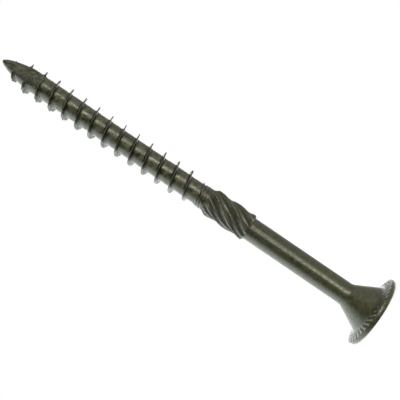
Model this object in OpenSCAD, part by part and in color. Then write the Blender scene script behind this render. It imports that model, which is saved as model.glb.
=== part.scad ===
// Countersunk timber screw, one piece of coated steel, standing on its flat head face with the point up.
// The origin is the middle of the head face and the Z axis runs along the screw to the point. Sizes are in mm.

/* [Whole screw] */
// Length from the head face to the point
screw_length = 80; // [76:1:100]
// Diameter of the plain shank
shank_d = 4.2; // [4:0.05:4.6]

/* [Head] */
// Diameter over the head's rim
head_d = 13.3; // [12.5:0.1:15]
// Height of the rim
rim_height = 1; // [0.8:0.05:1.2]
// Diameter where the cone meets the flange
cone_d = 9.1; // [8.6:0.1:9.6]
// Height at which the cone meets the flange
cone_start = 1.49; // [1.35:0.01:1.6]
// Height at which the cone meets the shank
cone_end = 6.02; // [5.6:0.02:6.8]
// Radius of the rim's edge at the head face
rim_edge = 0.6; // [0.2:0.05:0.7]
// Radius of the hollow between the flange and the cone
flange_hollow = 1; // [0.6:0.1:1.2]
// Radius of the hollow between the cone and the shank
shank_hollow = 1.5; // [1:0.1:2]

/* [Teeth under the head] */
// Number of teeth round the flange
tooth_count = 36; // [24:6:42]
// Depth of the notches between the teeth
tooth_depth = 0.16; // [0.12:0.02:0.26]
// Part of the spacing that a notch takes
tooth_gap = 0.45; // [0.3:0.05:0.8]
// Part of the flange's width that the notches reach across
tooth_reach = 0.85; // [0.6:0.05:0.9]
// Angle by which the notches lean from the radius
tooth_skew = 28; // [10:2:36]

/* [Drive recess] */
// Diameter over the six lobes
recess_d = 5.6; // [5.4:0.1:5.8]
// Diameter between the lobes
recess_waist = 3.95; // [3.8:0.05:4.1]
// Radius of the hollows between the lobes
recess_hollow = 1.19; // [1.1:0.01:1.25]
// Depth of the straight walls
recess_depth = 2.5; // [2:0.1:3]
// Depth of the cone at the bottom
recess_point = 0.6; // [0.3:0.1:0.8]

/* [Shank cutter] */
// Number of ribs
rib_count = 6; // [4:1:6]
// Diameter over the ribs
rib_d = 5.2; // [5:0.1:5.6]
// Height of the valleys between the ribs over the shank
valley_step = 0.06; // [0.05:0.01:0.15]
// Length of the cutter
cutter_length = 9.02; // [7:0.01:12]
// Length in which a rib would turn once round
rib_lead = 23.72; // [18:0.02:30]
// Angle of the first rib at the cutter's start
rib_angle = 2.7; // [0:0.1:60]
// Length of the ribs' end towards the head
rib_end_head = 0.35; // [0.2:0.05:0.6]
// Length of the ribs' end towards the point
rib_end_point = 1; // [0.5:0.05:1.4]
// Height of the neck between the cutter and the thread over the shank
neck_step = 0.03; // [0.01:0.01:0.04]
// Length of the neck up to the thread's start
neck_length = 1.34; // [1.2:0.02:2.5]

/* [Thread] */
// Diameter over the thread
thread_d = 5.76; // [5.4:0.02:6.2]
// Diameter of the core
core_d = 3.9; // [3.6:0.05:4]
// Length from the thread's start to the point
thread_length = 43.12; // [36:0.02:44]
// Distance between two turns
thread_pitch = 2.874; // [2.6:0.002:3.2]
// Width of the thread at the core
thread_base = 0.9; // [0.7:0.05:1]
// Width of the thread at its waist, a quarter of the way up
thread_waist = 0.38; // [0.3:0.02:0.5]
// Width of the thread at its crest
thread_crest = 0.16; // [0.1:0.01:0.28]
// Angle at which the thread starts
thread_angle = -90; // [-180:5:180]
// Length in which the thread rises at its start
thread_rise = 3.4; // [1.6:0.1:4]
// Length in which the thread falls towards the point
thread_fall = 3; // [2.5:0.1:6]
// Length of the notched part of the thread
notched_length = 16; // [10:1:20]
// Depth of the notches in the crest
crest_notch = 0.28; // [0.1:0.02:0.4]

/* [Point] */
// Length of the rounded point
point_length = 6; // [5.5:0.1:8]
// Length of the flute cut into the point
flute_length = 8.45; // [6:0.05:10]
// Distance of the flute's floor from the axis where the flute runs out
flute_floor = 1.3; // [0.9:0.02:1.5]
// Distance of the flute's floor from the axis just past the point
flute_tip = 0.35; // [0.2:0.05:0.6]
// Direction that the flute faces
flute_angle = -55; // [-180:1:180]

/* [Hidden] */
$fn = 96;
coating = [0.3, 0.31, 0.23];
overlap = 1;

head_r = head_d / 2;
cone_r = cone_d / 2;
shank_r = shank_d / 2;
core_r = core_d / 2;
neck_r = shank_r + neck_step;
valley_r = shank_r + valley_step;

// Heights of the parts along the axis
thread_start = screw_length - thread_length;
cutter_end = thread_start - neck_length;
cutter_start = cutter_end - cutter_length;
point_start = screw_length - point_length;
flute_end = screw_length - flute_length;

// Number of straight steps in a rounded corner of the turned outline
bend_steps = 3;

// Radius of the cone at the recess's bottom, and slope of the flute's steep end
recess_cone_r = 0.45 * recess_waist;
flute_ramp = 0.35;

// The neck ends in a short cone over the thread's start, a little wider than the core
neck_taper = 0.85;
neck_lap = 0.65;
neck_rim = 0.04;

// The thread's grid has one column for each step round the axis and a few points across each turn
steps_per_turn = 36;
steps_per_notch = 3;
points_across = 7;
squeeze_length = 2.5;
squeeze_start = screw_length - squeeze_length;
squeezed_turns = 2;
bare_length = 2;
thread_end = screw_length - bare_length;
thread_lead_in = thread_rise / 12;
waist_share = 0.25;
least_width = 0.2;
turns = (squeeze_start - thread_start) / thread_pitch + squeezed_turns;
last_step = floor(turns * steps_per_turn);
thread_height = (thread_d - core_d) / 2;

// Powers that round the point and the thread's fall towards it
point_taper = 1.2;
point_bluntness = 0.6;
fall_bluntness = 0.6;

// The cutter's grid. A rib's section goes from a sharp crest over a lower ridge to a groove and up again,
// as share of the way to the next crest and share of the full height.
rib_section = [[0, 1], [0.2, 0.44], [0.43, 0.54], [0.64, 0], [0.82, 0.4]];
points_per_rib = len(rib_section);
cutter_points = points_per_rib * rib_count;
cutter_slices = 16;
swell_at_head_end = 0.5;
swell_at_point_end = 0.2;

function fraction(value, from, to) = min(1, max(0, (value - from) / (to - from)));

// Points of a rounded corner between two straight runs of an outline
function bent(before, corner, after, radius) =
    let (
        back = (before - corner) / norm(before - corner),
        on = (after - corner) / norm(after - corner),
        reach = radius / tan(acos(back * on) / 2)
    )
    [
        for (step = [0 : bend_steps])
            let (t = step / bend_steps)
            corner + reach * (pow(1 - t, 2) * back + pow(t, 2) * on)
    ];

// Turns past this height are squeezed together so that they all end before the point
function squeezed(z) =
    z < squeeze_start
    ? z
    : screw_length - squeeze_length * exp((squeeze_start - z) / squeeze_length);

// Radius of the core, with a rounded point
function core_at(z) =
    core_r * pow(1 - pow(fraction(z, point_start, screw_length), point_taper), point_bluntness);

// Height of the thread over the core
function height_at(z) =
    thread_height
    * fraction(z, thread_start - thread_lead_in, thread_start + thread_rise)
    * pow(fraction(thread_end - z, 0, thread_fall), fall_bluntness);

// Saw teeth in the crest of the first turns
function notch_at(step, z) =
    z < screw_length - notched_length
    ? 1
    : 1 - crest_notch * (step % steps_per_notch) / (steps_per_notch - 1);

// Distance along the axis from the crest's middle to each point across a turn
function across(point, rise) =
    let (
        share = max(least_width, rise / thread_height),
        base = thread_crest + (thread_base - thread_crest) * share,
        waist = thread_crest + (thread_waist - thread_crest) * share
    )
    [-base, -waist, -thread_crest, thread_crest, waist, base, thread_pitch][point] / 2;

// Share of the thread's height at each point across a turn
function lift_at(point, notch) = [0, waist_share, notch, notch, waist_share, 0, 0][point];

function polar(radius, angle, z) = [radius * cos(angle), radius * sin(angle), z];

function step_angle(step) = thread_angle + 360 * step / steps_per_turn;

function thread_point(step, point) =
    let (
        middle = thread_start + thread_pitch * step / steps_per_turn,
        rise = height_at(squeezed(middle)),
        z = squeezed(middle + across(point, rise)),
        lift = rise * lift_at(point, notch_at(step, middle))
    )
    polar(core_at(z) + lift, step_angle(step), z);

function cutter_point(slice, index) =
    let (
        full_length = cutter_length - rib_end_head - rib_end_point,
        z = slice == 0 ? 0
            : slice == cutter_slices ? cutter_length
            : rib_end_head + full_length * (slice - 1) / (cutter_slices - 2),
        swell = slice == 0 ? swell_at_head_end
            : slice == cutter_slices ? swell_at_point_end
            : 1,
        corner = rib_section[index % points_per_rib],
        angle = 360 * (floor(index / points_per_rib) + corner[0]) / rib_count
    )
    polar(
        valley_r + (rib_d / 2 - valley_r) * swell * corner[1],
        rib_angle + angle + 360 * z / rib_lead,
        cutter_start + z
    );

// Head, cone, shank and neck in one turned outline
module turned_body() {
    cutter_middle = (cutter_start + cutter_end) / 2;
    neck_end = thread_start + neck_lap;
    face_middle = [0, 0];
    face_edge = [head_r, 0];
    rim_edge_below = [head_r, rim_height];
    cone_foot = [cone_r, cone_start];
    cone_top = [shank_r, cone_end];
    shank_top = [shank_r, cutter_middle];
    rotate_extrude()
        polygon(concat(
            [face_middle],
            bent(face_middle, face_edge, rim_edge_below, rim_edge),
            [rim_edge_below],
            bent(rim_edge_below, cone_foot, cone_top, flange_hollow),
            bent(cone_foot, cone_top, shank_top, shank_hollow),
            [
                shank_top,
                [neck_r, cutter_middle],
                [neck_r, neck_end - neck_taper],
                [core_r + neck_rim, neck_end],
                [0, neck_end]
            ]
        ));
}

// Saw-tooth notches across the underside of the flange
module flange_notches() {
    slope = atan2(cone_start - rim_height, head_r - cone_r);
    width = tooth_gap * PI * head_d / tooth_count;
    run = tooth_reach * (head_r - cone_r) / cos(slope);
    for (tooth = [0 : tooth_count - 1])
        rotate([0, 0, 360 * tooth / tooth_count])
            translate([head_r, 0, rim_height])
                rotate([0, slope, tooth_skew])
                    rotate([90, 0, -90])
                        translate([0, 0, -overlap])
                            linear_extrude(run + overlap)
                                polygon([[0, -tooth_depth], [2 * width, tooth_depth], [0, tooth_depth]]);
}

// Six-lobe recess with a shallow cone at its bottom
module drive_recess() {
    translate([0, 0, -overlap])
        linear_extrude(recess_depth + overlap)
            difference() {
                circle(d = recess_d);
                for (hollow = [0 : 5])
                    rotate(30 + 60 * hollow)
                        translate([recess_waist / 2 + recess_hollow, 0])
                            circle(r = recess_hollow);
            }
    translate([0, 0, recess_depth - recess_point])
        cylinder(h = 2 * recess_point, r1 = recess_cone_r, r2 = 0);
}

// Ribbed cutter between the plain shank and the thread
module shank_cutter() {
    points = [
        for (slice = [0 : cutter_slices])
            for (index = [0 : cutter_points - 1])
                cutter_point(slice, index)
    ];
    near_face = [for (index = [0 : cutter_points - 1]) index];
    far_face = [for (index = [cutter_points - 1 : -1 : 0]) cutter_slices * cutter_points + index];
    sides = [
        for (slice = [0 : cutter_slices - 1])
            for (index = [0 : cutter_points - 1])
                let (
                    a = slice * cutter_points + index,
                    b = slice * cutter_points + (index + 1) % cutter_points
                )
                each [
                    [a, a + cutter_points, b + cutter_points],
                    [a, b + cutter_points, b]
                ]
    ];
    polyhedron(points, concat([near_face, far_face], sides));
}

// Core with the thread wound round it up to the point, as one ribbon of turns joined edge to edge
module threaded_core() {
    first = steps_per_turn;
    apex = first + (last_step + 1) * points_across;
    root_z = thread_start - overlap;
    points = concat(
        [for (step = [0 : steps_per_turn - 1]) polar(core_r, step_angle(step), root_z)],
        [for (step = [0 : last_step]) for (point = [0 : points_across - 1]) thread_point(step, point)],
        [[0, 0, screw_length]]
    );
    function at(step, point) =
        point < points_across
        ? first + step * points_across + point
        : first + (step + steps_per_turn) * points_across;
    end_face = [for (step = [0 : steps_per_turn - 1]) step];
    collar = [
        for (step = [0 : steps_per_turn - 2])
            [step, at(step, 0), at(step + 1, 0), step + 1]
    ];
    bare = points_across - 1;
    start_edge = [at(steps_per_turn - 1, 0), at(steps_per_turn, 0), at(0, bare), at(0, bare - 1), at(0, 0), 0];
    start_seam = [
        for (index = [0 : len(start_edge) - 2])
            [steps_per_turn - 1, start_edge[index], start_edge[index + 1]]
    ];
    start_face = [for (point = [bare - 1 : -1 : 0]) at(0, point)];
    ribbon = [
        for (step = [0 : last_step - 1])
            for (point = [0 : points_across - 1])
                if (point < points_across - 1 || step < last_step - steps_per_turn)
                    each [
                        [at(step, point), at(step, point + 1), at(step + 1, point + 1)],
                        [at(step, point), at(step + 1, point + 1), at(step + 1, point)]
                    ]
    ];
    cap_start = last_step - steps_per_turn;
    cap = [
        for (step = [cap_start + 1 : last_step - 1])
            [at(step, bare), apex, at(step + 1, bare)]
    ];
    end_edge = concat(
        [at(cap_start, bare)],
        [for (point = [0 : points_across - 1]) at(last_step, point)],
        [apex]
    );
    end_seam = [
        for (index = [0 : len(end_edge) - 2])
            [at(cap_start + 1, bare), end_edge[index], end_edge[index + 1]]
    ];
    polyhedron(points, concat([end_face, start_face], collar, start_seam, ribbon, cap, end_seam));
}

// Flat flute along one side of the point, with a steep end
module point_flute() {
    reach = thread_d;
    rotate([0, 0, flute_angle])
        rotate([90, 0, 0])
            translate([0, 0, -reach])
                linear_extrude(2 * reach)
                    polygon([
                        [flute_tip, screw_length + overlap],
                        [flute_floor, flute_end],
                        [flute_floor + reach, flute_end - flute_ramp * reach],
                        [flute_floor + reach, screw_length + overlap]
                    ]);
}

module screw() {
    color(coating) {
        difference() {
            turned_body();
            flange_notches();
            drive_recess();
        }
        shank_cutter();
        difference() {
            threaded_core();
            point_flute();
        }
    }
}

screw();
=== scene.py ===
"""Looks of a countersunk timber screw: a fine mesh with an olive-bronze coating, on a pale floor."""

import math
from types import SimpleNamespace

import bpy
import numpy as np
from mathutils import Matrix, Vector


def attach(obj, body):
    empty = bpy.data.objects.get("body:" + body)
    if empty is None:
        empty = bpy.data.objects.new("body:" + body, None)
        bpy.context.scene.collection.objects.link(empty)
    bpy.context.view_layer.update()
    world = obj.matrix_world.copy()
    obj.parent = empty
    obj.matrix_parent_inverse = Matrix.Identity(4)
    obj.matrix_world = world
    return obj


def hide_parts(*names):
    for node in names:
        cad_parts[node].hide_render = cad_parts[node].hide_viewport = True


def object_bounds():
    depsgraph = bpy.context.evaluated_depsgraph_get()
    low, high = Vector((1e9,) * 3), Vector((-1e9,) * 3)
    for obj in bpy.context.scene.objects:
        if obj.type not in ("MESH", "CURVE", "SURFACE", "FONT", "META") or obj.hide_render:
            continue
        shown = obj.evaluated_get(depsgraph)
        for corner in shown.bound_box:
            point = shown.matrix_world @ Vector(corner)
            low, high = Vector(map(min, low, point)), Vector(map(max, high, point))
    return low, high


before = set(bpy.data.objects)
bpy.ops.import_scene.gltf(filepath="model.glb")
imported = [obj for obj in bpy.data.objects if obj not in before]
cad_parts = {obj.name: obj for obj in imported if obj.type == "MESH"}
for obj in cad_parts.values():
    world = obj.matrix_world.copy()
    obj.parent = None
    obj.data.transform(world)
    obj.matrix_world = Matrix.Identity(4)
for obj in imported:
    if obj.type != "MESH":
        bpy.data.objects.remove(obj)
cad_low, cad_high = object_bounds()
MM = 0.001

# Sizes of the screw in mm. The length and the head's radius come from the frame.
LENGTH = cad_high.z / MM
HEAD_R = cad_high.x / MM
RIM_HEIGHT = 1.0
RIM_EDGE = 0.6
RIM_UNDER_EDGE = 0.06
CONE_R = 4.55
CONE_START = 1.49
CONE_END = 6.02
CONE_BEND = 1.0
SHANK_R = 2.1
SHANK_BEND = 1.5

TOOTH_COUNT = 36
TOOTH_DEPTH = 0.16
TOOTH_GAP = 0.45
TOOTH_REACH = 0.85
TOOTH_SKEW = math.radians(28)
# Where a tooth fades in, before and after its inner end
TOOTH_FADE = (0.1, 0.25)

RECESS_LOBES = 6
RECESS_R = 2.8
RECESS_WAIST_R = 1.975
RECESS_HOLLOW = 1.19
RECESS_DEPTH = 2.5
RECESS_FLOOR_R = 0.45 * RECESS_WAIST_R
RECESS_POINT = 0.6

RIB_COUNT = 6
RIB_R = 2.6
VALLEY_R = 2.1
RIB_LEAD = 23.72
RIB_ANGLE = math.radians(2.7)
RIB_END_HEAD = 0.35
RIB_END_POINT = 1.0
# Share of a rib's height at which it starts, as a step, at the shank
RIB_STEP = 0.3
CUTTER_LENGTH = 9.02
# Section of a rib: share of the way to the next crest, and height
RIB_SHAPE = [(0, 1), (0.2, 0.44), (0.43, 0.54), (0.64, 0), (0.82, 0.4), (1, 1)]

NECK_R = 2.13
NECK_LENGTH = 1.34
NECK_TAPER = 0.85
NECK_LAP = 0.65
NECK_RIDGES = 5
NECK_RIDGE = 0.04
NECK_RIDGE_FADE = 0.4

THREAD_R = 2.88
CORE_R = 1.95
THREAD_LENGTH = 43.12
THREAD_PITCH = 2.874
THREAD_BASE = 0.9
THREAD_CREST = 0.16
# Flank of the thread: share of the way from the crest's edge out to the root, and height
FIN_FLANK = [(1, 0), (0.7, 0.02), (0.45, 0.07), (0.25, 0.16), (0.12, 0.32), (0.05, 0.62), (0, 0.97)]
# Least width of a low fin, as a share of the full width
LEAST_BASE = 0.2
THREAD_ANGLE = math.radians(-90)
THREAD_RISE = 3.4
THREAD_LEAD_IN = THREAD_RISE / 12
THREAD_FALL = 3.0
THREAD_END = 2.0
NOTCHED_LENGTH = 16.0
CREST_NOTCH = 0.28
NOTCHES_PER_TURN = 12
# Length at the point over which the last turns are squeezed together
SQUEEZED_LENGTH = 2.5

POINT_LENGTH = 6.0
# Exponents of the core's rounded point and of the thread's height there
POINT_TAPER = 1.2
POINT_ROUND = 0.6
FALL_ROUND = 0.6
FLUTE_LENGTH = 8.45
FLUTE_RAMP = 0.35
FLUTE_FLOOR = 1.3
FLUTE_TIP = 0.35
FLUTE_ANGLE = math.radians(-55)

THREAD_START = LENGTH - THREAD_LENGTH
CUTTER_END = THREAD_START - NECK_LENGTH
CUTTER_START = CUTTER_END - CUTTER_LENGTH
NECK_END = THREAD_START + NECK_LAP
POINT_START = LENGTH - POINT_LENGTH
SQUEEZE_START = LENGTH - SQUEEZED_LENGTH
FLUTE_END = LENGTH - FLUTE_LENGTH

# How far a cutting tool reaches past what it cuts, and how far the core reaches into the neck
OVERRUN = 1.0
CORE_LAP = 1.0
# The neck ends a little inside the core, and its last ring lies well inside it
NECK_SINK = 0.02
NECK_CLOSE = 0.2
# Step along the axis where the section changes at once
JOG = 0.01

# Fineness of the meshes
ROUND_STEPS = 360
HEAD_STEP = 0.25
CUTTER_RINGS = 64
NECK_RINGS = 30
STEPS_PER_TURN = 96
SQUEEZED_TURNS = 2
CORE_COLUMNS = (0.36, 0.5, 0.64)
RECESS_STEPS = 240
SHARP_ANGLE = math.radians(38)

# Coating: linear colours, and index of refraction
COATING_DARK = (0.023, 0.0238, 0.009, 1)
COATING_LIGHT = (0.055, 0.0565, 0.025, 1)
SPECK_COLOUR = (0.05, 0.034, 0.013, 1)
# Pale colour of worn edges, also used for painted glints and the painted highlight on the rib crests
WORN_AND_GLINT_COLOUR = (0.12, 0.12, 0.095, 1)
# Dark colour of painted shade and dirt in hollows
HOLLOW_SHADE_AND_DIRT_COLOUR = (0.01, 0.0095, 0.005, 1)
COATING_IOR = 1.65

# Noises of the coating: scale, detail and roughness
MOTTLE_NOISE = (1800, 4, 0.7)
STAIN_NOISE = (1100, 5, 0.7)
SPECK_NOISE = (1500, 3, 0.6)
SCAR_NOISE = (2600, 2, 0.5)
GRAIN_NOISE = (2600, 4, 0.5)

# Mottle all over, and stains on the threaded part: level of the noise, and colour
MOTTLE = [(0.4, COATING_DARK), (0.6, COATING_LIGHT)]
STAINS = [
    (0.41, (0.018, 0.017, 0.006, 1)),
    (0.5, (0.046, 0.0475, 0.021, 1)),
    (0.59, (0.082, 0.083, 0.047, 1)),
]
# Brown specks: levels of the noise, strength, and share of it off the threaded part
SPECK_LEVELS = (0.56, 0.7)
SPECK_STRENGTH = 0.7
SPECKS_ELSEWHERE = 0.25

# Painted shade across a rib, a neck ridge and a turn of the thread, darker in the grooves and beside the
# fins: share of the way to the next crest, and level
RIB_PAINTED_SHADE = [
    (0, 1), (0.06, 0.7), (0.19, 0.3), (0.3, 0.5), (0.43, 0.9),
    (0.52, 0.5), (0.63, 0.12), (0.76, 0.5), (0.95, 0.8), (1, 1),
]
# Painted shade in the grooves between the neck's ridges
NECK_PAINTED_SHADE = [(0, 0.75), (0.25, 0.25), (0.5, 0.75), (0.75, 1), (1, 0.75)]
# Painted shade: dark bands on either side of each fin's crest, at its roots
FIN_PAINTED_SHADE = [
    (0, 0.9), (0.025, 0.9), (0.042, 0.1), (0.165, 0.1), (0.205, 0.9),
    (0.83, 0.9), (0.865, 0.05), (0.97, 0.05), (0.985, 0.9), (1, 0.9),
]
# Strength of the fins' painted shade where the thread starts, and the share of the core's radius where it
# fades in
FIRST_FIN_SHADE = 0.6
FIN_SHADE_FADE = 0.9

# Painted shade across the flute's floor, darker towards one side, from one side of its middle to the other,
# and levels of its scars
FLUTE_PAINTED_SHADE = [(0, 0.1), (0.32, 0.8), (1, 0.9)]
FLUTE_SCARS = (0.2, 1.35)
FLUTE_HALF_WIDTH = 1.4
# Depths below the floor's plane between which the floor's mask fades in
FLUTE_FADE = (0.12, 0.04)

# Painted highlight along a rib's crest and its second ridge, with shares as for the rib's painted shade
RIB_CREST_HIGHLIGHT = [
    (0, 0.5), (0.03, 0.25), (0.06, 0), (0.36, 0), (0.41, 0.45),
    (0.46, 0), (0.95, 0), (0.98, 0.25), (1, 0.5),
]
# Paler edges, partly wear and partly painted glints, and painted shade with dirt in hollows: range of
# pointiness, and strength
EDGE_BEND = (0.56, 0.68)
EDGE_WEAR_AND_GLINT = 0.35
HOLLOW_BEND = (0.485, 0.42)
HOLLOW_SHADE_AND_DIRT = 0.9

# Roughness over the grain, and what is added across a rib, in stains and across a turn of the thread
GRAIN_LEVELS = (0.4, 0.6)
COATING_ROUGHNESS = (0.285, 0.415)
RIB_DULL = [
    (0, 0), (0.06, 0.1), (0.2, 0.35), (0.36, 0), (0.43, 0),
    (0.52, 0.3), (0.64, 0.5), (0.8, 0.3), (1, 0),
]
STAIN_LEVELS = (0.42, 0.58)
STAIN_DULL = (-0.11, 0.09)
TURN_DULL = [
    (0, 0.05), (0.15, 0.05), (0.2, 0), (0.38, 0), (0.5, 0.08),
    (0.72, 0.08), (0.82, 0), (0.86, 0), (0.9, 0.05), (1, 0.05),
]
# Roughness added on the fins of the +X side, and where it fades in: height over the core, and place along X
FIN_DULL = 0.35
FIN_DULL_HEIGHT = (0.3, 0.6)
FIN_DULL_SIDE = (-0.6, 1.2)
# Relief of the grain: strength, height in mm, and how much stronger it is on the threaded part
RELIEF_STRENGTH = 0.25
RELIEF_HEIGHT = 0.04
THREAD_RELIEF = 3
# Half width of the soft border between two parts of the coating
SOFT_BORDER = 0.3

# Light of the world: azimuth from the camera's side and elevation in degrees, where it fades in, and colour
DIM_LIGHT = (0.12, 0.122, 0.105)
SWEEP = (-125, 0, (0.21, 0.8), (2.35, 2.53, 2.45))
FILL = (95, 0, (-0.1, 0.7), (0.5, 0.5, 0.46))
BACK = (171, 12, (0.93, 0.985), (3, 3.05, 3))
LOW_BACK = (158, -34, (0.88, 0.97), (2.2, 2.2, 2.2))

# Key lamp: azimuth and elevation as above, roll in degrees, metres and watts
KEY_PLACE = (25, 1)
KEY_ROLL = -22
KEY_DISTANCE = 0.4
KEY_SIZE = (0.09, 0.36)
KEY_POWER = 1.08
KEY_COLOUR = (1, 1, 0.78)

# Floor: radius in metres, colour, and its glow to the camera
FLOOR_R = 0.4
FLOOR_COLOUR = (0.3, 0.3, 0.3, 1)
FLOOR_GLOW = 0.85

# Camera, from the photo: a pinhole whose image plane lies almost along the screw
FOCAL_PX = 850
PHOTO_PX = 400
SENSOR_WIDTH = 36
CAMERA_DISTANCE = 150.46
CAMERA_TARGET = (-0.77, 0, 36.54)
CAMERA_TILT = math.radians(-2.83)
AXIS_ANGLE = math.radians(34.29)
CLIP = (0.005, 10)


def fraction(value, start, end):
    return np.clip((value - start) / (end - start), 0, 1)


def smooth(value, start, end):
    t = fraction(value, start, end)
    return t * t * (3 - 2 * t)


def round_angles(steps):
    return np.linspace(0, 2 * math.pi, steps, endpoint=False)


def polar(r, angle, z):
    """Points at a radius, an angle and a height, each a number or an array."""
    r, angle, z = np.broadcast_arrays(r, angle, z)
    return np.stack([r * np.cos(angle), r * np.sin(angle), z], -1)


def new_object(name, points, faces):
    """A mesh object from points in mm."""
    mesh = bpy.data.meshes.new(name)
    mesh.from_pydata((np.asarray(points) * MM).tolist(), [], faces)
    mesh.validate()
    made = bpy.data.objects.new(name, mesh)
    bpy.context.scene.collection.objects.link(made)
    return made


def ring_object(name, grid):
    """A closed body from rings of points: grid is rings by points by xyz."""
    rings, count = grid.shape[:2]
    faces = [
        (r * count + c, r * count + (c + 1) % count, (r + 1) * count + (c + 1) % count, (r + 1) * count + c)
        for r in range(rings - 1)
        for c in range(count)
    ]
    faces.append(tuple(range(count - 1, -1, -1)))
    faces.append(tuple((rings - 1) * count + c for c in range(count)))
    return new_object(name, grid.reshape(-1, 3), faces)


def cut(target, tool, operation="DIFFERENCE"):
    """Applies a boolean to the target's mesh and deletes the tool."""
    modifier = target.modifiers.new("cut", "BOOLEAN")
    modifier.operation = operation
    modifier.solver = "EXACT"
    modifier.object = tool
    graph = bpy.context.evaluated_depsgraph_get()
    result = bpy.data.meshes.new_from_object(target.evaluated_get(graph))
    target.modifiers.clear()
    old = target.data
    target.data = result
    bpy.data.meshes.remove(old)
    bpy.data.objects.remove(tool)


def rounded_outline(corners, steps=6):
    """Points along an outline of (radius, height, corner radius), with round corners."""
    points = []
    for index, (r, z, bend) in enumerate(corners):
        here = Vector((r, z))
        if bend == 0 or index in (0, len(corners) - 1):
            points.append(tuple(here))
            continue
        before = (Vector(corners[index - 1][:2]) - here).normalized()
        after = (Vector(corners[index + 1][:2]) - here).normalized()
        half = before.angle(after) / 2
        reach = bend / math.tan(half)
        centre = here + (before + after).normalized() * (bend / math.sin(half))
        start = here + before * reach - centre
        end = here + after * reach - centre
        for step in range(steps + 1):
            arm = start.normalized().slerp(end.normalized(), step / steps) * bend
            points.append(tuple(centre + arm))
    return points


def filled(points, longest):
    """Adds points along an outline so that no stretch is longer than given."""
    out = [points[0]]
    for a, b in zip(points, points[1:]):
        gap = math.dist(a, b)
        count = max(1, math.ceil(gap / longest))
        for step in range(1, count + 1):
            t = step / count
            out.append((a[0] + (b[0] - a[0]) * t, a[1] + (b[1] - a[1]) * t))
    return out


def tooth_drop(angle, r):
    """Depth of the saw teeth under the flange."""
    lean = (HEAD_R - r) * math.tan(TOOTH_SKEW) / r
    t = ((angle + lean) * TOOTH_COUNT / (2 * math.pi)) % 1
    inner = HEAD_R - TOOTH_REACH * (HEAD_R - CONE_R)
    reach = smooth(r, inner - TOOTH_FADE[0], inner + TOOTH_FADE[1])
    return TOOTH_DEPTH * np.clip((t - 1 + TOOTH_GAP) / TOOTH_GAP, 0, 1) * reach


def rib_radius(angle, z):
    """Radius of the ribbed cutter."""
    turn = angle - RIB_ANGLE - 2 * math.pi * (z - CUTTER_START) / RIB_LEAD
    share = (turn * RIB_COUNT / (2 * math.pi)) % 1
    height = np.interp(share, *zip(*RIB_SHAPE))
    swell = RIB_STEP + (1 - RIB_STEP) * fraction(z, CUTTER_START, CUTTER_START + RIB_END_HEAD)
    swell *= fraction(CUTTER_END - z, 0, RIB_END_POINT)
    return VALLEY_R + (RIB_R - VALLEY_R) * swell * height


def neck_radius(angle, z):
    """Radius of the neck, with fine rolled ridges that lean like the thread."""
    ridge = np.sin(NECK_RIDGES * (2 * math.pi * z / THREAD_PITCH - angle))
    fade = smooth(z, CUTTER_END, CUTTER_END + NECK_RIDGE_FADE) * smooth(NECK_END - z, 0, NECK_RIDGE_FADE)
    taper = smooth(z, NECK_END - NECK_TAPER, NECK_END)
    return NECK_R + (CORE_R - NECK_SINK - NECK_R) * taper + ridge * NECK_RIDGE * fade


def head_outline():
    """Points from inside the recess over the rim, the flange and the cone to the shank."""
    corners = [
        (RECESS_FLOOR_R, 0, 0),
        (HEAD_R, 0, RIM_EDGE),
        (HEAD_R, RIM_HEIGHT, RIM_UNDER_EDGE),
        (CONE_R, CONE_START, CONE_BEND),
        (SHANK_R, CONE_END, SHANK_BEND),
        (SHANK_R, CONE_END + 1, 0),
    ]
    return filled(rounded_outline(corners), HEAD_STEP)


def turned_body():
    """Head, cone, shank, ribbed cutter and neck."""
    angle = round_angles(ROUND_STEPS)
    rings = []
    for r, z in head_outline():
        under_flange = z > RIM_HEIGHT - 2 * RIM_UNDER_EDGE
        rings.append((r, z - tooth_drop(angle, r) if under_flange else z))
    rings.append((SHANK_R, CUTTER_START))
    for z in np.linspace(CUTTER_START + JOG, CUTTER_END - JOG, CUTTER_RINGS):
        rings.append((rib_radius(angle, z), z))
    for z in np.linspace(CUTTER_END, NECK_END, NECK_RINGS):
        rings.append((neck_radius(angle, z), z))
    rings.append((CORE_R - NECK_CLOSE, NECK_END))
    return ring_object("screw_coated", np.array([polar(r, angle, z) for r, z in rings]))


def squeezed(z):
    """Turns past a height are squeezed together so that they end before the point."""
    left = SQUEEZED_LENGTH * np.exp((SQUEEZE_START - z) / SQUEEZED_LENGTH)
    return np.where(z < SQUEEZE_START, z, LENGTH - left)


def core_radius(z):
    return CORE_R * (1 - fraction(z, POINT_START, LENGTH) ** POINT_TAPER) ** POINT_ROUND


def thread_height(z):
    rise = fraction(z, THREAD_START - THREAD_LEAD_IN, THREAD_START + THREAD_RISE)
    return (THREAD_R - CORE_R) * rise * fraction(LENGTH - THREAD_END - z, 0, THREAD_FALL) ** FALL_ROUND


def crest_notches(step, z):
    """Saw teeth in the crest of the turns near the point."""
    t = (step * NOTCHES_PER_TURN / STEPS_PER_TURN) % 1
    return np.where(z < LENGTH - NOTCHED_LENGTH, 1, 1 - CREST_NOTCH * t)


def turn_columns(rise):
    """Columns across a turn: distance from the crest along the axis, and share of the fin's height."""
    base = THREAD_CREST + (THREAD_BASE - THREAD_CREST) * np.maximum(LEAST_BASE, rise / (THREAD_R - CORE_R))
    crest = np.full(rise.shape, THREAD_CREST / 2)
    flank = [(crest + out * (base / 2 - crest), height) for out, height in FIN_FLANK]
    columns = [(-offset, height) for offset, height in flank]
    columns.append((0 * crest, 1.0))
    columns += flank[::-1]
    columns += [(np.full(rise.shape, share * THREAD_PITCH), 0.0) for share in CORE_COLUMNS]
    return columns


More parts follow.
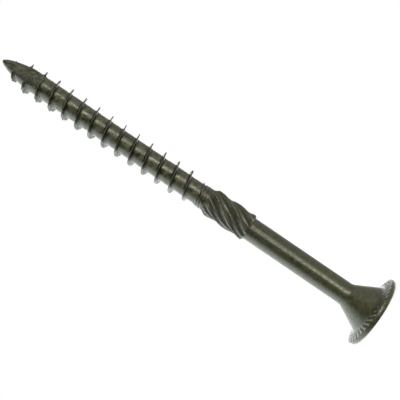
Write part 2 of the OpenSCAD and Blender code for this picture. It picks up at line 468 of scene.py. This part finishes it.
def thread_ribbon(step):
    """Points of the thread and the core: steps along the helix by columns across a turn."""
    middle = THREAD_START + THREAD_PITCH * step / STEPS_PER_TURN
    angle = THREAD_ANGLE + 2 * math.pi * step / STEPS_PER_TURN
    rise = thread_height(squeezed(middle))
    lift = rise * crest_notches(step, middle)
    columns = []
    for offset, share in turn_columns(rise):
        z = squeezed(middle + offset)
        columns.append(polar(core_radius(z) + lift * share, angle, z))
    return np.stack(columns, 1)


def core_faces(last, across):
    """Faces of the threaded core: its end, the ring up to the first turn, the ribbon and the point."""
    turn = STEPS_PER_TURN
    apex = turn + (last + 1) * across

    def at(s, k):
        """Index of a point. The column after a turn's last one is the next turn's first."""
        return turn + s * across + k if k < across else turn + (s + turn) * across

    faces = [tuple(range(turn - 1, -1, -1))]
    faces += [(s, s + 1, at(s + 1, 0), at(s, 0)) for s in range(turn - 1)]
    faces.append((turn - 1, 0, *[at(0, k) for k in range(across)], at(turn, 0), at(turn - 1, 0)))
    for s in range(last):
        for k in range(across):
            if k < across - 1 or s < last - turn:
                faces.append((at(s, k), at(s + 1, k), at(s + 1, k + 1), at(s, k + 1)))
    edge = across - 1
    first = last - turn
    chain = [at(first, edge)] + [at(last, k) for k in range(across)] + [apex]
    faces += [(at(first + 1, edge), b, a) for a, b in zip(chain, chain[1:])]
    faces += [(at(s, edge), at(s + 1, edge), apex) for s in range(first + 1, last)]
    return faces


def threaded_core():
    """Core with the thread wound round it, as one ribbon of turns joined edge to edge."""
    turns = (SQUEEZE_START - THREAD_START) / THREAD_PITCH + SQUEEZED_TURNS
    last = int(turns * STEPS_PER_TURN)
    ribbon = thread_ribbon(np.arange(last + 1))
    root = polar(CORE_R, THREAD_ANGLE + round_angles(STEPS_PER_TURN), THREAD_START - CORE_LAP)
    points = np.concatenate([root, ribbon.reshape(-1, 3), [[0, 0, LENGTH]]])
    return new_object("threaded_core", points, core_faces(last, ribbon.shape[1]))


def flute_tool():
    """Prism that cuts the flat flute along one side of the point."""
    reach = 2 * THREAD_R
    outline = [
        (FLUTE_TIP, LENGTH + OVERRUN),
        (FLUTE_FLOOR, FLUTE_END),
        (FLUTE_FLOOR + reach, FLUTE_END - FLUTE_RAMP * reach),
        (FLUTE_FLOOR + reach, LENGTH + OVERRUN),
    ]
    points = [(x, side * reach, z) for side in (-1, 1) for x, z in outline]
    faces = [(0, 1, 2, 3), (7, 6, 5, 4), (0, 4, 5, 1), (1, 5, 6, 2), (2, 6, 7, 3), (3, 7, 4, 0)]
    tool = new_object("flute_tool", points, faces)
    tool.matrix_world = Matrix.Rotation(FLUTE_ANGLE, 4, "Z")
    return tool


def recess_tool():
    """Six-lobe prism with a cone at its bottom."""
    angle = round_angles(RECESS_STEPS)
    reach = np.full(RECESS_STEPS, RECESS_R)
    far = RECESS_WAIST_R + RECESS_HOLLOW
    for hollow in range(RECESS_LOBES):
        off = angle - 2 * math.pi * (hollow + 0.5) / RECESS_LOBES
        inside = RECESS_HOLLOW**2 - (far * np.sin(off)) ** 2
        near = far * np.cos(off) - np.sqrt(np.maximum(inside, 0))
        reach = np.where((inside > 0) & (np.cos(off) > 0), np.minimum(reach, near), reach)
    rings = [
        (reach, -OVERRUN),
        (reach, RECESS_DEPTH),
        (RECESS_FLOOR_R, RECESS_DEPTH + JOG),
        (2 * JOG, RECESS_DEPTH + RECESS_POINT),
    ]
    return ring_object("recess_tool", np.array([polar(r, angle, z) for r, z in rings]))


def node(tree, kind, **values):
    made = tree.nodes.new(kind)
    for key, value in values.items():
        setattr(made, key, value)
    return made


def mapped(tree, value, source, target):
    """Maps a value from one range to another, held at the ends."""
    made = node(tree, "ShaderNodeMapRange")
    made.inputs["From Min"].default_value, made.inputs["From Max"].default_value = source
    made.inputs["To Min"].default_value, made.inputs["To Max"].default_value = target
    tree.links.new(value, made.inputs["Value"])
    return made.outputs["Result"]


def between(tree, value, start, end, target=(0, 1)):
    """Maps a length between two sizes in mm to a range, held at the ends."""
    return mapped(tree, value, (start * MM, end * MM), target)


def past(tree, along, height):
    """Mask of what lies past a height in mm, with a soft border."""
    return between(tree, along, height - SOFT_BORDER, height + SOFT_BORDER)


def noise(tree, place, scale, detail, roughness):
    made = node(tree, "ShaderNodeTexNoise")
    made.inputs["Scale"].default_value = scale
    made.inputs["Detail"].default_value = detail
    made.inputs["Roughness"].default_value = roughness
    tree.links.new(place, made.inputs["Vector"])
    return made.outputs["Fac"]


def calculated(tree, operation, first, second):
    """Math on two values, of which the second may be a number."""
    made = node(tree, "ShaderNodeMath", operation=operation)
    tree.links.new(first, made.inputs[0])
    if isinstance(second, (int, float)):
        made.inputs[1].default_value = second
    else:
        tree.links.new(second, made.inputs[1])
    return made.outputs["Value"]


def mixed(tree, factor, first, second, way="MIX"):
    """Mix of two colours, of which the second may be constant."""
    made = node(tree, "ShaderNodeMix", data_type="RGBA", blend_type=way)
    tree.links.new(factor, made.inputs["Factor"])
    tree.links.new(first, made.inputs["A"])
    if isinstance(second, tuple):
        made.inputs["B"].default_value = second
    else:
        tree.links.new(second, made.inputs["B"])
    return made.outputs["Result"]


def ramp(tree, value, stops):
    """Colour ramp from a list of (position, colour or grey level)."""
    made = node(tree, "ShaderNodeValToRGB")
    elements = made.color_ramp.elements
    while len(elements) < len(stops):
        elements.new(0.5)
    for element, (position, colour) in zip(elements, stops):
        element.position = position
        element.color = colour if isinstance(colour, tuple) else (colour, colour, colour, 1)
    tree.links.new(value, made.inputs["Fac"])
    return made.outputs["Color"]


def reach_along(tree, place, way):
    """How far each place lies along a direction."""
    made = node(tree, "ShaderNodeVectorMath", operation="DOT_PRODUCT")
    made.inputs[1].default_value = way
    tree.links.new(place, made.inputs[0])
    return made.outputs["Value"]


def from_axis(tree, place):
    """How far each place lies from the screw's axis."""
    flat = node(tree, "ShaderNodeVectorMath", operation="MULTIPLY")
    flat.inputs[1].default_value = (1, 1, 0)
    tree.links.new(place, flat.inputs[0])
    made = node(tree, "ShaderNodeVectorMath", operation="LENGTH")
    tree.links.new(flat.outputs["Vector"], made.inputs[0])
    return made.outputs["Value"]


def winding(tree, parts, lead, starts, angle, start):
    """Share of the way from one helical crest to the next, from the coordinates of each place."""
    turned = calculated(tree, "ARCTAN2", parts["Y"], parts["X"])
    turned = calculated(tree, "MULTIPLY", turned, starts / (2 * math.pi))
    risen = calculated(tree, "MULTIPLY", parts["Z"], starts / (lead * MM))
    offset = starts * (angle / (2 * math.pi) - start / lead)
    share = calculated(tree, "SUBTRACT", calculated(tree, "SUBTRACT", turned, risen), offset)
    return calculated(tree, "FRACT", share, 0)


def surface(tree):
    """Coordinates of each place on the screw, and masks of the screw's parts."""
    at = SimpleNamespace()
    at.place = node(tree, "ShaderNodeTexCoord").outputs["Object"]
    split = node(tree, "ShaderNodeSeparateXYZ")
    tree.links.new(at.place, split.inputs["Vector"])
    at.sideways = split.outputs["X"]
    at.along = split.outputs["Z"]
    at.outward = from_axis(tree, at.place)
    at.on_thread = past(tree, at.along, CUTTER_END)
    at.on_cutter = calculated(tree, "SUBTRACT", past(tree, at.along, CUTTER_START), at.on_thread)
    at.on_neck = calculated(tree, "SUBTRACT", at.on_thread, past(tree, at.along, NECK_END))
    at.rib_share = winding(tree, split.outputs, RIB_LEAD, RIB_COUNT, RIB_ANGLE, CUTTER_START)
    at.ridge_share = winding(tree, split.outputs, THREAD_PITCH, NECK_RIDGES, 0, 0)
    at.turn_share = winding(tree, split.outputs, THREAD_PITCH, 1, THREAD_ANGLE, THREAD_START)
    at.stains = noise(tree, at.place, *STAIN_NOISE)
    at.grain = noise(tree, at.place, *GRAIN_NOISE)
    return at


def bare_colour(tree, at):
    """Mottled coating, stained on the threaded part, with brown specks."""
    plain = ramp(tree, noise(tree, at.place, *MOTTLE_NOISE), MOTTLE)
    tone = mixed(tree, at.on_thread, plain, ramp(tree, at.stains, STAINS))
    specks = mapped(tree, noise(tree, at.place, *SPECK_NOISE), SPECK_LEVELS, (0, SPECK_STRENGTH))
    share = mapped(tree, at.on_thread, (0, 1), (SPECKS_ELSEWHERE, 1))
    return mixed(tree, calculated(tree, "MULTIPLY", specks, share), tone, SPECK_COLOUR)


def fin_shade_mask(tree, at):
    """Mask of the thread's surface that gets the fins' painted shade, weaker where the thread starts."""
    outside = between(tree, at.outward, FIN_SHADE_FADE * CORE_R, CORE_R)
    risen = between(tree, at.along, THREAD_START, THREAD_START + THREAD_RISE, (FIRST_FIN_SHADE, 1))
    return calculated(tree, "MULTIPLY", calculated(tree, "MULTIPLY", at.on_thread, outside), risen)


def flute_mask(tree, at):
    """Mask of the flute's floor."""
    slope = (FLUTE_TIP - FLUTE_FLOOR) / (LENGTH + OVERRUN - FLUTE_END)
    level = FLUTE_FLOOR - slope * FLUTE_END
    raised = reach_along(tree, at.place, (math.cos(FLUTE_ANGLE), math.sin(FLUTE_ANGLE), -slope))
    on_plane = between(tree, raised, level - FLUTE_FADE[0], level - FLUTE_FADE[1])
    past_end = between(tree, at.along, FLUTE_END, FLUTE_END + SOFT_BORDER)
    return calculated(tree, "MULTIPLY", on_plane, past_end)


def flute_shade(tree, at):
    """Painted shade across the flute's floor, darker towards one side, with scars."""
    across = reach_along(tree, at.place, (-math.sin(FLUTE_ANGLE), math.cos(FLUTE_ANGLE), 0))
    shade = ramp(tree, between(tree, across, -FLUTE_HALF_WIDTH, FLUTE_HALF_WIDTH), FLUTE_PAINTED_SHADE)
    scars = mapped(tree, noise(tree, at.place, *SCAR_NOISE), GRAIN_LEVELS, FLUTE_SCARS)
    return calculated(tree, "MULTIPLY", shade, scars)


def painted_shade_colour(tree, at):
    """The coating with painted shade in the grooves of the cutter, the neck and the thread, beside the
    fins, and towards one side of the flute's floor.
    """
    colour = bare_colour(tree, at)
    for part, painted_shade in (
        (at.on_cutter, ramp(tree, at.rib_share, RIB_PAINTED_SHADE)),
        (at.on_neck, ramp(tree, at.ridge_share, NECK_PAINTED_SHADE)),
        (fin_shade_mask(tree, at), ramp(tree, at.turn_share, FIN_PAINTED_SHADE)),
        (flute_mask(tree, at), flute_shade(tree, at)),
    ):
        colour = mixed(tree, part, colour, painted_shade, "MULTIPLY")
    return colour


def wear_glint_and_shade_colour(tree, at):
    """The coating with painted shade, paler on edges from wear and painted glints, with a painted highlight
    along the ribs, and dark brown in hollows from painted shade and dirt.
    """
    bend = node(tree, "ShaderNodeNewGeometry").outputs["Pointiness"]
    # Painted highlight along the rib crests
    crest_highlight = calculated(tree, "MULTIPLY", at.on_cutter, ramp(tree, at.rib_share, RIB_CREST_HIGHLIGHT))
    # Edges paler: partly wear, partly painted glints
    wear_and_glint = calculated(tree, "MAXIMUM", crest_highlight, mapped(tree, bend, EDGE_BEND, (0, EDGE_WEAR_AND_GLINT)))
    worn_and_glinting = mixed(tree, wear_and_glint, painted_shade_colour(tree, at), WORN_AND_GLINT_COLOUR)
    # Hollows darker: painted shade and dirt
    return mixed(tree, mapped(tree, bend, HOLLOW_BEND, (0, HOLLOW_SHADE_AND_DIRT)), worn_and_glinting, HOLLOW_SHADE_AND_DIRT_COLOUR)


def coating_roughness(tree, at):
    """Half gloss, uneven with the grain, and duller or glossier on parts of the screw."""
    off_core = between(tree, at.outward, CORE_R + FIN_DULL_HEIGHT[0], CORE_R + FIN_DULL_HEIGHT[1])
    one_side = between(tree, at.sideways, *FIN_DULL_SIDE, (0, FIN_DULL))
    roughness = mapped(tree, at.grain, GRAIN_LEVELS, COATING_ROUGHNESS)
    for part, added in (
        (at.on_cutter, ramp(tree, at.rib_share, RIB_DULL)),
        (at.on_thread, mapped(tree, at.stains, STAIN_LEVELS, STAIN_DULL)),
        (at.on_thread, calculated(tree, "MULTIPLY", off_core, one_side)),
        (at.on_thread, ramp(tree, at.turn_share, TURN_DULL)),
    ):
        roughness = calculated(tree, "ADD", roughness, calculated(tree, "MULTIPLY", part, added))
    return roughness


def coating_relief(tree, at):
    """Fine relief of the grain, stronger on the threaded part."""
    strength = mapped(tree, at.on_thread, (0, 1), (1, THREAD_RELIEF))
    bump = node(tree, "ShaderNodeBump")
    bump.inputs["Strength"].default_value = RELIEF_STRENGTH
    bump.inputs["Distance"].default_value = RELIEF_HEIGHT * MM
    tree.links.new(calculated(tree, "MULTIPLY", at.grain, strength), bump.inputs["Height"])
    return bump.outputs["Normal"]


def coating_material():
    """Thin olive-bronze coating: mottled, half gloss, with painted shade in grooves and hollows, dirt in
    hollows, and edges a little paler from wear and painted glints.
    """
    material = bpy.data.materials.new("olive_coating")
    material.use_nodes = True
    tree = material.node_tree
    shader = tree.nodes["Principled BSDF"]
    shader.inputs["Metallic"].default_value = 0.0
    shader.inputs["IOR"].default_value = COATING_IOR
    at = surface(tree)
    tree.links.new(wear_glint_and_shade_colour(tree, at), shader.inputs["Base Color"])
    tree.links.new(coating_roughness(tree, at), shader.inputs["Roughness"])
    tree.links.new(coating_relief(tree, at), shader.inputs["Normal"])
    return material


def make_screw():
    screw = turned_body()
    cut(screw, recess_tool())
    core = threaded_core()
    cut(core, flute_tool())
    cut(screw, core, "UNION")
    screw.data.shade_smooth()
    screw.data.set_sharp_from_angle(angle=SHARP_ANGLE)
    screw.data.materials.clear()
    screw.data.materials.append(coating_material())
    for face in screw.data.polygons:
        face.material_index = 0
    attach(screw, "root")
    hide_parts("screw")


def floor_material():
    """Pale and matt, with a glow that only the camera sees."""
    material = bpy.data.materials.new("pale_floor")
    material.use_nodes = True
    tree = material.node_tree
    tree.nodes.clear()
    out = node(tree, "ShaderNodeOutputMaterial")
    path = node(tree, "ShaderNodeLightPath")
    matt = node(tree, "ShaderNodeBsdfDiffuse")
    matt.inputs["Color"].default_value = FLOOR_COLOUR
    glow = node(tree, "ShaderNodeEmission")
    glow.inputs["Strength"].default_value = FLOOR_GLOW
    empty = node(tree, "ShaderNodeEmission")
    empty.inputs["Strength"].default_value = 0
    pick = node(tree, "ShaderNodeMixShader")
    both = node(tree, "ShaderNodeAddShader")
    tree.links.new(path.outputs["Is Camera Ray"], pick.inputs["Fac"])
    tree.links.new(empty.outputs["Emission"], pick.inputs[1])
    tree.links.new(glow.outputs["Emission"], pick.inputs[2])
    tree.links.new(matt.outputs["BSDF"], both.inputs[0])
    tree.links.new(pick.outputs["Shader"], both.inputs[1])
    tree.links.new(both.outputs["Shader"], out.inputs["Surface"])
    return material


def make_floor():
    """Pale round floor. To the camera it is white apart from the screw's soft shadow."""
    bpy.ops.mesh.primitive_circle_add(vertices=96, radius=FLOOR_R, fill_type="NGON")
    floor = bpy.context.object
    floor.name = "floor"
    floor.data.materials.append(floor_material())
    floor.visible_diffuse = False
    floor.visible_glossy = False
    floor.visible_shadow = False


def way_to(azimuth, elevation):
    """Direction from the screw; azimuth 0 is the camera's side, + to its right."""
    a, e = math.radians(azimuth), math.radians(elevation)
    return Vector((math.sin(a) * math.cos(e), -math.cos(a) * math.cos(e), math.sin(e)))


def lobe(tree, place, azimuth, elevation, edge, colour):
    """Light from one side of the world, which fades out towards the other side."""
    level = node(tree, "ShaderNodeMapRange", interpolation_type="SMOOTHSTEP")
    level.inputs["From Min"].default_value, level.inputs["From Max"].default_value = edge
    tree.links.new(reach_along(tree, place, way_to(azimuth, elevation)), level.inputs["Value"])
    made = node(tree, "ShaderNodeVectorMath", operation="SCALE")
    made.inputs[0].default_value = colour
    tree.links.new(level.outputs["Result"], made.inputs["Scale"])
    return made.outputs["Vector"]


def make_world():
    """White to the camera. As light it is dim, with a sweep at one side, a fill and two lights behind."""
    world = bpy.data.worlds.new("studio")
    bpy.context.scene.world = world
    world.use_nodes = True
    tree = world.node_tree
    background = tree.nodes["Background"]
    place = node(tree, "ShaderNodeTexCoord").outputs["Generated"]
    dim = node(tree, "ShaderNodeCombineXYZ")
    for index in range(3):
        dim.inputs[index].default_value = DIM_LIGHT[index]
    light = dim.outputs["Vector"]
    for side in (SWEEP, FILL, BACK, LOW_BACK):
        both = node(tree, "ShaderNodeVectorMath", operation="ADD")
        tree.links.new(light, both.inputs[0])
        tree.links.new(lobe(tree, place, *side), both.inputs[1])
        light = both.outputs["Vector"]
    path = node(tree, "ShaderNodeLightPath")
    seen = mixed(tree, path.outputs["Is Camera Ray"], light, (1, 1, 1, 1))
    tree.links.new(seen, background.inputs["Color"])
    background.inputs["Strength"].default_value = 1


def make_key_lamp():
    """Tall area lamp aimed at the middle of the screw."""
    lamp = bpy.data.lights.new("key_strip", "AREA")
    lamp.shape = "RECTANGLE"
    lamp.size, lamp.size_y = KEY_SIZE
    lamp.energy = KEY_POWER
    lamp.color = KEY_COLOUR
    made = bpy.data.objects.new("key_strip", lamp)
    bpy.context.scene.collection.objects.link(made)
    way = way_to(*KEY_PLACE)
    made.location = Vector((0, 0, LENGTH / 2 * MM)) + way * KEY_DISTANCE
    roll = Matrix.Rotation(math.radians(KEY_ROLL), 3, "Z")
    turn = (-way).to_track_quat("-Z", "Y").to_matrix() @ roll
    made.rotation_euler = turn.to_euler()


def make_camera():
    camera_data = bpy.data.cameras.new("camera")
    camera_data.sensor_width = SENSOR_WIDTH
    camera_data.lens = FOCAL_PX / PHOTO_PX * SENSOR_WIDTH
    camera_data.clip_start, camera_data.clip_end = CLIP
    camera = bpy.data.objects.new("camera", camera_data)
    bpy.context.scene.collection.objects.link(camera)
    back = Vector((0, -math.cos(CAMERA_TILT), math.sin(CAMERA_TILT)))
    side = Vector((1, 0, 0))
    up = back.cross(side)
    right = side * math.sin(AXIS_ANGLE) - up * math.cos(AXIS_ANGLE)
    top = side * math.cos(AXIS_ANGLE) + up * math.sin(AXIS_ANGLE)
    turn = Matrix((right, top, back)).transposed().to_4x4()
    place = Vector(CAMERA_TARGET) * MM + back * CAMERA_DISTANCE * MM
    camera.matrix_world = Matrix.Translation(place) @ turn
    bpy.context.scene.camera = camera


make_screw()
make_floor()
make_world()
make_key_lamp()
make_camera()
bpy.context.scene.view_settings.view_transform = "Standard"
